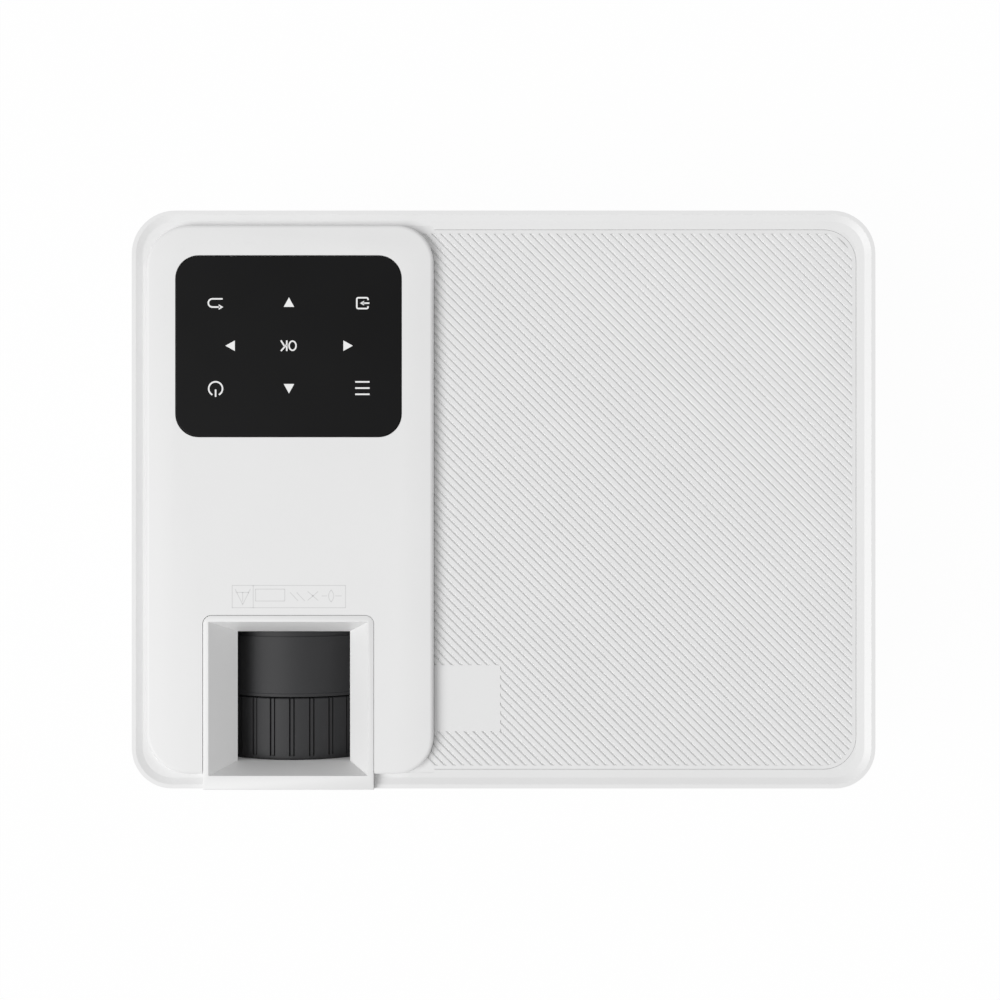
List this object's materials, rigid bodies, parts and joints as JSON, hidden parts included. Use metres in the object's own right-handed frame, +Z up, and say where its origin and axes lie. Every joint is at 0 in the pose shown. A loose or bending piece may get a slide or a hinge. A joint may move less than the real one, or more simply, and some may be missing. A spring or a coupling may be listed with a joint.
{
  "type": "projector with built-in disc player",
  "caption": "Compact home projector with a touch control deck, a focus ring in a sloped top window and a slim disc tray in its side.",
  "frame": {"origin": "under the middle of the case, on the table it stands on", "axes": "+X towards the disc tray's side, -Y the way the lens looks, +Z up"},
  "size_m": [0.24, 0.1864, 0.092],
  "materials": {
    "white_case": "fine satin moulding",
    "white_panel": "satin, grooved",
    "touch_black": "mirror gloss",
    "barrel_grey": "fine satin",
    "black_plastic": "fine texture",
    "smoked_window": "smoked, glossy",
    "foot_rubber": "matt",
    "zinc_steel": "zinc plated",
    "insert_brass": "turned",
    "board_green": "solder mask",
    "fin_aluminium": "extruded",
    "drive_steel": "galvanised sheet",
    "optic_glass": "coated",
    "panel_glass": "dark cell",
    "tray_plastic": "satin",
    "speaker_cone": "paper cone",
    "led_ceramic": "phosphor",
    "power_board": "board and wound parts"
  },
  "bodies": {
    "housing": {"bottom_case": "white_case", "upper_case": "white_case", "grooved_panel": "white_panel", "control_deck": "white_case", "touch_glass": "touch_black", "touch_board": "board_green", "lens_surround": "white_case", "rubber_feet": "foot_rubber", "case_screws": "zinc_steel", "tripod_insert": "insert_brass", "ceiling_inserts": "insert_brass", "elevator_nut": "insert_brass", "speaker_grille": "black_plastic", "speakers": "speaker_cone", "infrared_window": "smoked_window", "port_panel": "black_plastic", "main_board": "board_green", "hdmi_sockets": "zinc_steel", "usb_socket": "zinc_steel", "headphone_jack": "black_plastic", "av_jack": "black_plastic", "power_inlet": "black_plastic", "inlet_pins": "zinc_steel", "power_supply": "power_board", "engine_case": "black_plastic", "engine_lid": "black_plastic", "fresnel_lenses": "optic_glass", "lcd_panel": "panel_glass", "heat_glass": "optic_glass", "condenser_lens": "optic_glass", "led_module": "led_ceramic", "heatsink": "fin_aluminium", "exhaust_fan_frame": "black_plastic", "intake_fan_frame": "black_plastic", "lens_sleeve": "barrel_grey", "ring_retainer": "barrel_grey", "drive_chassis": "drive_steel", "drive_cover": "drive_steel"},
    "elevator": {"elevator_foot": "black_plastic", "elevator_sole": "foot_rubber"},
    "exhaust_rotor": {"exhaust_fan_rotor": "black_plastic"},
    "intake_rotor": {"intake_fan_rotor": "black_plastic"},
    "ring": {"focus_ring": "barrel_grey"},
    "cell": {"lens_cell": "black_plastic", "cam_pins": "zinc_steel", "front_lens": "optic_glass", "rear_lens": "optic_glass"},
    "rails": {"slide_rails": "zinc_steel"},
    "tray": {"disc_tray": "tray_plastic", "tray_bezel": "white_case", "mechanism_plate": "drive_steel", "guide_rods": "zinc_steel", "spindle_motor": "zinc_steel", "sled_motor": "zinc_steel"},
    "button": {"eject_button": "white_case"},
    "hub": {"spindle_hub": "tray_plastic"},
    "screw": {"lead_screw": "zinc_steel"},
    "sled": {"laser_sled": "black_plastic", "objective_lens": "optic_glass"}
  },
  "joints": [
    {"name": "elevator_rise", "type": "slide", "parent": "housing", "child": "elevator", "axis": [0, 0, -1], "range_m": [0, 0.012]},
    {"name": "exhaust_spin", "type": "hinge", "parent": "housing", "child": "exhaust_rotor", "pos_m": [-0.0691, 0.085, 0.0555], "axis": [0, 1, 0], "continuous": true},
    {"name": "intake_spin", "type": "hinge", "parent": "housing", "child": "intake_rotor", "pos_m": [-0.022, 0.004, 0.0555], "axis": [1, 0, 0], "continuous": true},
    {"name": "focus_turn", "type": "hinge", "parent": "housing", "child": "ring", "pos_m": [-0.0691, -0.075, 0.0555], "axis": [0, -1, 0], "range_deg": [0, 120]},
    {"name": "focus_slide", "type": "slide", "parent": "housing", "child": "cell", "axis": [0, -1, 0], "range_m": [0, 0.006]},
    {"name": "rail_slide", "type": "slide", "parent": "housing", "child": "rails", "axis": [1, 0, 0], "range_m": [0, 0.056]},
    {"name": "tray_slide", "type": "slide", "parent": "housing", "child": "tray", "axis": [1, 0, 0], "range_m": [0, 0.112]},
    {"name": "eject_press", "type": "slide", "parent": "tray", "child": "button", "axis": [-1, 0, 0], "range_m": [0, 0.0008], "stiffness_N_per_m": 150},
    {"name": "spindle_spin", "type": "hinge", "parent": "tray", "child": "hub", "pos_m": [0.0558, 0, 0.069], "axis": [0, 0, 1], "continuous": true},
    {"name": "sled_slide", "type": "slide", "parent": "tray", "child": "sled", "axis": [-0.7071, -0.7071, 0], "range_m": [0, 0.03]},
    {"name": "lead_screw_turn", "type": "hinge", "parent": "tray", "child": "screw", "pos_m": [0.04201, 0.01379, 0.0671], "axis": [-0.7071, -0.7071, 0], "range_deg": [0, 3605]}
  ],
  "couplings": [
    {"joint": "focus_slide", "follows": "focus_turn", "m_per_rad": 0.002864},
    {"joint": "rail_slide", "follows": "tray_slide", "ratio": 0.5},
    {"joint": "lead_screw_turn", "follows": "sled_slide", "rad_per_m": 2094.4}
  ]
}
